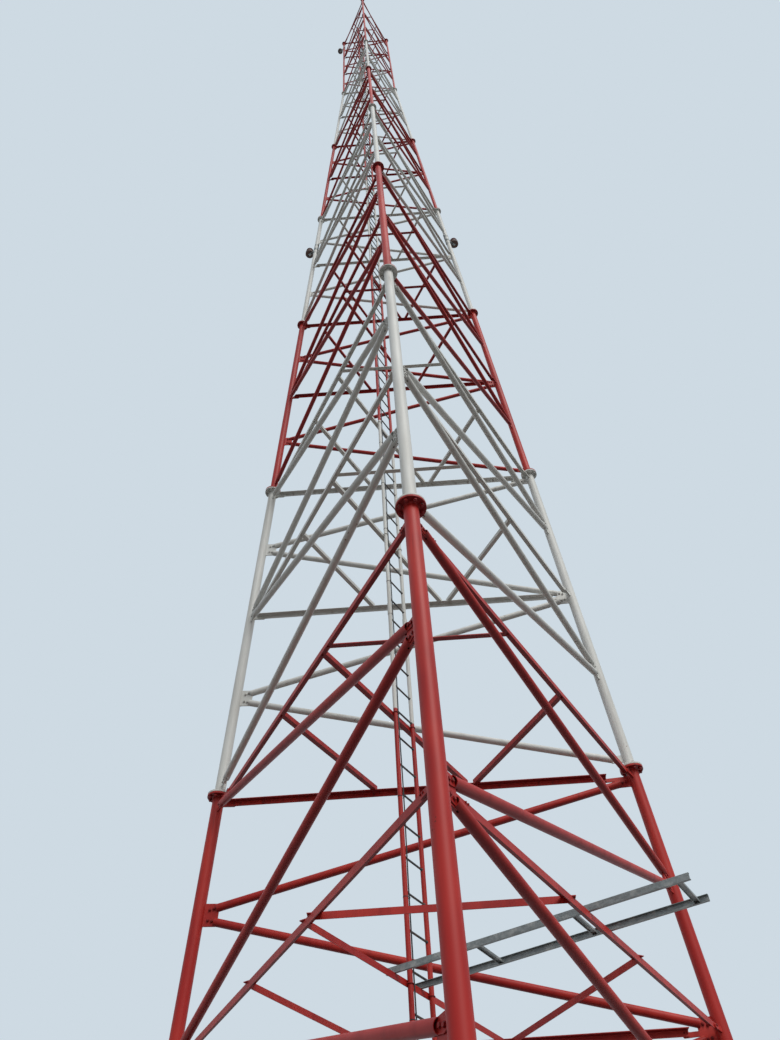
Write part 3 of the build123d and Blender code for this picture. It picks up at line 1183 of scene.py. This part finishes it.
def planBar(bars, bolts, section, z, distance, sides, atTray):
    # away from the front, except for the bars near the front leg, which are turned round
    turned = not atTray and sides[0][0] == sides[1][0] == "front"
    overhang = planBracing["trayOverhang" if atTray else "overhang"] * sizeOf("girts", section)
    diameter = sizeOf("planBars", section)
    across = planAcross(section)
    wall = wallOf(across)
    girtWall = wallOf(girtAcross(section))
    points = [sidePoint(side, distance, z) + upright * (sizeOf("girts", section) / 2) for side in sides]
    along = (points[1] - points[0]).normalized()
    away = upright.cross(along)
    if (away.y < 0) != turned:
        away = away * -1
    # the upright leg stands against the ladder's stringers where the bar carries them
    shift = ridge(diameter) + ridge(ladder["stringer"]) - ladder["stringer"] / 2
    middle = across * planBracing["boltShare"] - shift
    tips = []
    trims = []
    copes = []
    for point, side, way in ((points[0], sides[0], along), (points[1], sides[1], along * -1)):
        out = (legPoint(side[1], z) - legPoint(side[0], z)).cross(upright).normalized()
        if out.dot(way) > 0:
            out = out * -1
        slant = -out.dot(way)
        turn = away.dot(out)
        back = (max(-shift * turn, (across - shift) * turn) - overhang + girtFace) / slant
        tips.append(point + way * back - away * shift)
        clear = max(-shift * turn, (2 * wall - shift) * turn) + girtFace + angles["copeGap"]
        trims.append((clear + girtAcross(section)) / slant - back)
        copes.append((clear + 2 * girtWall) / slant - back)
        seatBack = (middle * turn + girtFace + girtAcross(section) * planBracing["boltShare"]) / slant
        seat = point + way * seatBack + away * middle
        boltThrough(bolts, seat, upright * -1, way, diameter * planBracing["bolt"], wall + girtWall)
    notch = wall + girtWall + nodes["fitGap"]
    if atTray:
        angleBar(bars, tips, away, across, across, notch, trims=trims, copes=copes)
    else:
        angleBar(bars, [tip - upright * wall for tip in tips], away, across, across, notch, rise=True)


def planPiece(section):
    bars = Shape()
    bolts = Shape()
    for node in girtNodes(section):
        z = nodeHeight(section, node)
        for distance, *sides in planBars(section, z):
            planBar(bars, bolts, section, z, distance, sides, (section, node) == trayLevel)
    tone = toneOf(section)
    bars.piece(f"plan_bars_{section}", [paint[tone]], [f"plan_bracing_{section}"])
    bolts.piece(f"plan_bolts_{section}", [fastener[tone]])


for section in sections:
    planPiece(section)
print("plan bracing done")


def ladderStringer(shape, spot, bottom, top):
    # painted with the sections that it passes, and spliced by sleeves
    radius = ladder["stringer"] / 2
    cuts = [bottom] + [sectionLevels(section)[1] for section in sections[:-1]] + [top]
    for index, (low, high) in enumerate(zip(cuts, cuts[1:])):
        place = placeAt(ladderPoint(spot, 0, low), upright, alongRungs)
        shape.turned(place, [(radius, 0), (radius, high - low)], ladder["sides"], index % 2)
    outer = radius + ladder["spliceWall"]
    edge = ladder["spliceEdge"]
    length = ladder["splice"]
    middle = bottom + ladder["spliceEvery"] - ladder["spliceDrop"]
    while middle < top:
        tone = sum(middle > cut for cut in cuts[1:]) % 2
        place = placeAt(ladderPoint(spot, 0, middle - length / 2), upright, alongRungs)
        profile = [(radius, 0), (outer, edge), (outer, length - edge), (radius, length)]
        shape.turned(place, profile, ladder["sides"], tone)
        middle += ladder["spliceEvery"]


def ladderPieces():
    bottom = baseLevel + ladder["bottomRise"]
    top = towerTop - ladder["topDrop"]
    rails = Shape()
    rungs = Shape()
    for side in (-1, 1):
        ladderStringer(rails, side * stringerSpot, bottom, top)
    radius = ladder["stringer"] / 2
    rung = ladder["rung"] / 2
    reach = stringerSpot - radius * ladder["rungIn"]
    weld = [(rung + thick, height) for thick, height in ladder["weld"]]
    for index in range(int((top - bottom) // ladder["rungPitch"])):
        z = bottom + ladder["rungPitch"] * (index + 0.5)
        place = placeAt(ladderPoint(-reach, 0, z), alongRungs, upright)
        rungs.turned(place, [(rung, 0), (rung, 2 * reach)], ladder["rungSides"])
        for side in (-1, 1):
            seat = ladderPoint(side * (stringerSpot - radius - buried), 0, z)
            rungs.turned(placeAt(seat, alongRungs * -side, upright), weld, ladder["rungSides"])
    rails.piece("ladder_stringers", [paint["red"], paint["white"]], ["ladder"])
    rungs.piece("ladder_rungs", [rungFinish], ["ladder"])


# U-bolts that hold the stringers to the upright leg of the support angles, at a share of its height
bracket = {"rod": 0.007, "rodReach": 0.020, "gap": 0.0005, "share": 0.6, "nut": 0.8, "sides": 8, "steps": 14}


def ladderBrackets():
    shape = Shape()
    radius = ladder["stringer"] / 2
    rod = bracket["rod"]
    bend = radius + rod / 2 + bracket["gap"]
    back = radius + bracket["rodReach"]
    for section in sections:
        tone = (section + 1) % 2
        across = planAcross(section)
        wall = wallOf(across)
        for node in girtNodes(section):
            rise = bracket["share"] * across
            rise = -rise if (section, node) == trayLevel else rise - wall
            z = nodeHeight(section, node) + sizeOf("girts", section) / 2 + rise
            for side in (-1, 1):
                middle = side * stringerSpot
                path = [ladderPoint(middle + bend, back, z)]
                for i in range(bracket["steps"] + 1):
                    turn = pi * i / bracket["steps"]
                    path.append(ladderPoint(middle + bend * cos(turn), -bend * sin(turn), z))
                path.append(ladderPoint(middle - bend, back, z))
                shape.swept(path, rod / 2, bracket["sides"], tone)
                for way in (-1, 1):
                    seat = ladderPoint(middle + way * bend, radius + wall + bracket["gap"], z)
                    place = placeAt(seat, towardLeft, alongRungs)
                    hexHead(shape, place, rod, 0, rod * bracket["nut"], tone)
    shape.piece("ladder_u_bolts", [fastener["red"], fastener["white"]])


ladderPieces()
ladderBrackets()
print("ladder done")


cable = {
    "diameter": 0.012,
    "bottomRise": 0.90,
    "lampDrop": 0.90,
    "sides": 8,
    "step": 0.15,
    "sway": 0.0022,
    "swayRates": (4.3, 2.9),
    "tieEvery": 0.9,
    "tieWidth": 0.006,
    "tieRoom": 0.004,
    "tieInner": 0.0005,
    "tieOuter": 0.0015,
    "tieSides": 20,
}


def cableTie(shape, spot, stringer, z):
    # a band round the cable and the stringer
    way = (spot - stringer).normalized()
    side = upright.cross(way)
    loop = []
    for i in range(cable["tieSides"]):
        turn = 2 * pi * i / cable["tieSides"]
        ray = way * cos(turn) + side * sin(turn)
        if cos(turn) < 0:
            loop.append((stringer, ray, ladder["stringer"] / 2))
        else:
            loop.append((spot, ray, cable["diameter"] / 2 + cable["tieRoom"]))
    inner = cable["tieInner"]
    outer = cable["tieOuter"]
    width = cable["tieWidth"]
    rings = []
    for grow, lift in ((inner, 0), (outer, 0), (outer, width), (inner, width), (inner, 0)):
        band = [centre + ray * (size + grow) for centre, ray, size in loop]
        rings.append([point + upright * (z + lift) for point in band])
    shape.loft(rings, caps=(False, False))


def cablePiece():
    # the cable runs beside a stringer, in front of the rungs
    beside = -stringerSpot + ladder["stringer"] / 2 + cable["diameter"] / 2 + nodes["fitGap"]
    front = -(ladder["rung"] / 2 + ridge(cable["diameter"]) + nodes["fitGap"])
    low = baseLevel + cable["bottomRise"]
    high = towerTop - cable["lampDrop"]
    count = round((high - low) / cable["step"])
    sway = cable["sway"]
    alongRate, outRate = cable["swayRates"]
    path = []
    for i in range(count + 1):
        z = low + (high - low) * i / count
        out = front - sway * (1 + sin(z * outRate + 1))
        path.append(ladderPoint(beside + sway * sin(z * alongRate), out, z))
    shape = Shape()
    shape.swept(path, cable["diameter"] / 2, cable["sides"])
    z = low + cable["tieEvery"] / 2
    while z < high:
        cableTie(shape, ladderPoint(beside, front, 0), ladderPoint(-stringerSpot, 0, 0), z)
        z += cable["tieEvery"]
    shape.piece("lamp_cable_sheath", [sheath], ["lamp_cable"])


tray = {
    "width": 0.385,
    "farSide": 0.330,
    "innerEnd": 0.300,
    "outerEnd": 2.050,
    "railHeight": 0.045,
    "railWidth": 0.022,
    "rungHeight": 0.020,
    "rungWidth": 0.040,
    "rungPitch": 0.750,
    "rungLift": 0.004,
    "sheet": 0.003,
}


def channel(shape, place, points, start, end):
    # a folded section, as (across, up) points, drawn out along the frame's X
    shape.loft([[place @ Vector((x, y, z)) for y, z in points] for x in (start, end)])


def trayPiece():
    bottom = nodeHeight(*trayLevel) + sizeOf("girts", trayLevel[0]) / 2 + nodes["fitGap"]
    start = towerAxis + towardLeft * tray["innerEnd"] + upright * bottom
    place = placeAt(start, upright, towardLeft * -1)
    length = tray["innerEnd"] + tray["outerEnd"]
    far = -tray["farSide"]
    near = far + tray["width"]
    sheet = tray["sheet"]
    height = tray["railHeight"]
    width = tray["railWidth"]
    shape = Shape()
    for edge, inward in ((near, -1), (far, 1)):
        # each rail is open towards the tray's middle
        outline = [(0, 0), (width, 0), (width, sheet), (sheet, sheet), (sheet, height - sheet)]
        outline += [(width, height - sheet), (width, height), (0, height)]
        points = [(edge + inward * y, z) for y, z in outline]
        channel(shape, place, points[::inward], 0, length)
    # rungs are open below
    rungPlace = placeAt(start, upright, place.to_3x3() @ Vector((0, 1, 0)))
    low = tray["rungLift"]
    top = tray["rungHeight"]
    under = top - sheet
    for index in range(int((length - tray["rungWidth"]) // tray["rungPitch"]) + 1):
        first = index * tray["rungPitch"]
        last = first + tray["rungWidth"]
        outline = [(first, low), (first + sheet, low), (first + sheet, under), (last - sheet, under)]
        outline += [(last - sheet, low), (last, low), (last, top), (first, top)]
        channel(shape, rungPlace, [(-x, z) for x, z in outline], far + sheet, near - sheet)
    shape.piece("cable_tray_channels", [zinc], ["cable_tray"])


# Warning lamps. Profiles give a share of the lamp's radius, a share of the body's or the lens's
# height, and a rise in metres
lamps = {
    "reach": 0.175,
    "radius": 0.092,
    "sides": 32,
    "sideShare": 0.611,
    "topDrop": 0.90,
    "bodyHeight": 0.090,
    "bodyProfile": (
        (0.55, 0, 0.0), (0.9, 0, 0.002), (1, 0, 0.012), (1, 1, -0.026), (0.97, 1, -0.020),
        (0.97, 1, -0.012), (1, 1, -0.008), (1, 1, -0.002), (0.97, 1, 0.0),
    ),
    "lensHeight": 0.120,
    "lensShare": 0.90,
    "lensTaper": 0.06,
    "ribs": 7,
    "ribbedShare": 0.74,
    "ribSteps": ((1, 0.15), (0.95, 0.75)),
    "capShare": 0.80,
    "capLevel": 0.78,
    "capProfile": (
        (0.84, 0.78, -0.004), (0.86, 0.78, 0.004), (0.80, 0.78, 0.012), (0.45, 1, -0.004), (0.15, 1, 0.0),
    ),
    "glandShare": 0.45,
    "glandSides": 12,
    "glandProfile": ((0.013, -0.004), (0.013, 0.010), (0.010, 0.014), (0.010, 0.024)),
}
lampMount = {
    "bandHeight": 0.060,
    "bandWall": 0.006,
    "bandSides": 32,
    "armWidth": 0.046,
    "armThickness": 0.014,
    "armEdge": 0.0015,
    "armIn": 0.02,
    "clipHeight": 0.024,
    "clipWall": 0.0015,
}
lampLead = {
    "radius": 0.009,
    "gap": 0.002,
    "rise": 0.26,
    "drop": 0.030,
    "bend": 0.012,
    "tuck": 0.02,
    "riser": 0.010,
    "riserGap": 0.007,
    "riserReach": 0.25,
    "riserClips": 0.7,
    "leadClip": 0.85,
    "sides": 10,
}


def profileOf(radius, height, steps, base=0.0):
    return [(radius * share, base + height * level + rise) for share, level, rise in steps]


def lampHousing(node, place, out):
    radius = lamps["radius"]
    body = lamps["bodyHeight"]
    lens = lamps["lensHeight"]
    casing = Shape()
    casing.turned(place, profileOf(radius, body, lamps["bodyProfile"]), lamps["sides"])
    casing.turned(place, profileOf(radius, lens, lamps["capProfile"], body), lamps["sides"])
    # a gland under the body
    gland = placeAt(place @ Vector((-radius * lamps["glandShare"], 0, 0)), upright * -1, out)
    casing.turned(gland, lamps["glandProfile"], lamps["glandSides"])
    # the lens narrows upwards, with a ring of glass at each step
    ribs = [(radius * lamps["lensShare"], body - buried)]
    step = lens * lamps["ribbedShare"] / lamps["ribs"]
    for i in range(lamps["ribs"]):
        size = radius * (lamps["lensShare"] - lamps["lensTaper"] * i / lamps["ribs"])
        ribs += [(size * share, body + step * (i + level)) for share, level in lamps["ribSteps"]]
    ribs.append((radius * lamps["capShare"], body + lens * lamps["capLevel"]))
    glassShape = Shape()
    glassShape.turned(place, ribs, lamps["sides"])
    casing.piece(node + "_casing", [casting], [node])
    glassShape.piece(node + "_lens", [glass], [node])


def legBand(shape, place, legRadius, wall, height):
    half = height / 2
    outer = legRadius + wall
    profile = [(legRadius, -half), (outer, -half), (outer, half), (legRadius, half)]
    shape.turned(place, profile, lampMount["bandSides"])


def lampPiece(node, leg, z):
    section = next(s for s in sections if z < sectionLevels(s)[1])
    out = outward(leg)
    centre = legPoint(leg, z)
    axis = legAxis(leg, section)
    legRadius = sizeOf("legs", section) / 2
    place = placeAt(centre + out * lamps["reach"], upright, out)
    # the lead loops from the gland to the leg, and its riser runs along the leg's inner side
    lead = Shape()
    rise = lampLead["rise"]
    low = -lampLead["drop"]
    bend = lampLead["bend"]
    near = legRadius + lampLead["radius"] + lampLead["gap"]
    hang = lamps["reach"] - lamps["radius"] * lamps["glandShare"]
    points = [
        (hang, 0.0), (hang, low * 0.5), (hang - bend, low), (near + bend, low), (near, low * 0.4),
        (near, rise * 0.5), (near, rise), (near - bend, rise + lampLead["tuck"]),
    ]
    lead.swept([centre + out * x + axis * z for x, z in points], lampLead["radius"], lampLead["sides"])
    riser = centre - out * (legRadius + lampLead["riser"] + lampLead["riserGap"])
    reach = lampLead["riserReach"]
    heights = [reach * share for share in (-1, -0.5, 0, 0.5, 1)]
    lead.swept([riser + axis * z for z in heights], lampLead["riser"], lampLead["sides"])
    mount = Shape()
    legBand(mount, placeAt(centre, axis, out), legRadius, lampMount["bandWall"], lampMount["bandHeight"])
    half = lampMount["armWidth"] / 2
    inner = legRadius - lamps["reach"]
    arm = [(lampMount["armIn"], half), (inner, half), (inner, -half), (lampMount["armIn"], -half)]
    thick = lampMount["armThickness"]
    mount.plate(place @ Matrix.Translation((0, 0, -thick / 2)), arm, thick, lampMount["armEdge"])
    clipped = reach * lampLead["riserClips"]
    for height in (-clipped, clipped, rise * lampLead["leadClip"]):
        clip = placeAt(centre + axis * height, axis, out)
        legBand(mount, clip, legRadius, lampMount["clipWall"], lampMount["clipHeight"])
    lead.piece(node + "_lead", [sheath], [node])
    lampHousing(node, place, out)
    mount.piece(node + "_arm", [zinc], [node])


cablePiece()
trayPiece()
sideLampHeight = baseLevel + taperHeight * lamps["sideShare"]
lampPiece("lamp_left", "left", sideLampHeight)
lampPiece("lamp_right", "right", sideLampHeight)
lampPiece("lamp_top", "left", towerTop - lamps["topDrop"])
print("cable, tray and lamps done")


# Camera, at the photograph's place near the front leg, with its angles in degrees
view = {
    "place": (-0.134, -3.867, 0.541),
    "yaw": -0.456,
    "pitch": 49.801,
    "roll": -3.556,
    "lens": 29.44,
    "clip": (0.05, 600),
}


def placeCamera():
    data = bpy.data.cameras.new("camera")
    data.lens = view["lens"]
    data.clip_start, data.clip_end = view["clip"]
    camera = sceneObject("camera", data)
    yaw, pitch, roll = [radians(view[key]) for key in ("yaw", "pitch", "roll")]
    forward = Vector((sin(yaw) * cos(pitch), cos(yaw) * cos(pitch), sin(pitch)))
    right = Vector((cos(yaw), -sin(yaw), 0))
    up = right.cross(forward)
    turnedRight = right * cos(roll) + up * sin(roll)
    camera.matrix_world = placeAt(Vector(view["place"]), forward * -1, turnedRight)
    bpy.context.scene.camera = camera


# Floor, backdrop and light
studio = {
    "floorRadius": 260.0,
    "floorSides": 64,
    "floorShown": colour(214, 220, 224),
    "floorBounce": colour(96, 92, 86),
    "backdrop": colour(206, 218, 227),
    "skyColour": colour(244, 248, 255),
    "sky": 0.66,
    "lampPower": 2.1,
    "lampAngle": 34,
    "lampColour": (1.0, 0.97, 0.92),
    "lampWay": (0.45, -0.75, 0.95),
}


def lightStudio():
    world = bpy.data.worlds.new("studioLight")
    bpy.context.scene.world = world
    sky = Nodes(world)
    light = sky.node("ShaderNodeBackground", {}, [studio["skyColour"], studio["sky"]])
    shown = sky.node("ShaderNodeBackground", {}, [studio["backdrop"], 1.0])
    sky.node("ShaderNodeOutputWorld", {}, [sky.backdropSplit(light, shown)])
    lamp = bpy.data.lights.new("softLamp", "SUN")
    lamp.energy = studio["lampPower"]
    lamp.angle = radians(studio["lampAngle"])
    lamp.color = studio["lampColour"]
    toward = Vector(studio["lampWay"]).to_track_quat("Z", "Y")
    sceneObject("softLamp", lamp).rotation_euler = toward.to_euler()


def layFloor():
    material = bpy.data.materials.new("studioFloor")
    look = Nodes(material)
    bounced = look.node("ShaderNodeBsdfDiffuse", {}, [studio["floorBounce"]])
    shown = look.node("ShaderNodeBsdfDiffuse", {}, [studio["floorShown"]])
    look.node("ShaderNodeOutputMaterial", {}, [look.backdropSplit(bounced, shown)])
    shape = Shape()
    place = placeAt(towerAxis, upright, Vector((1, 0, 0)))
    rim = circle(place, studio["floorRadius"], 0, studio["floorSides"])
    shape.loft([rim], caps=(False, True))
    shape.made("studio_floor", [material])


placeCamera()
lightStudio()
layFloor()
bpy.context.scene.view_settings.view_transform = "Standard"
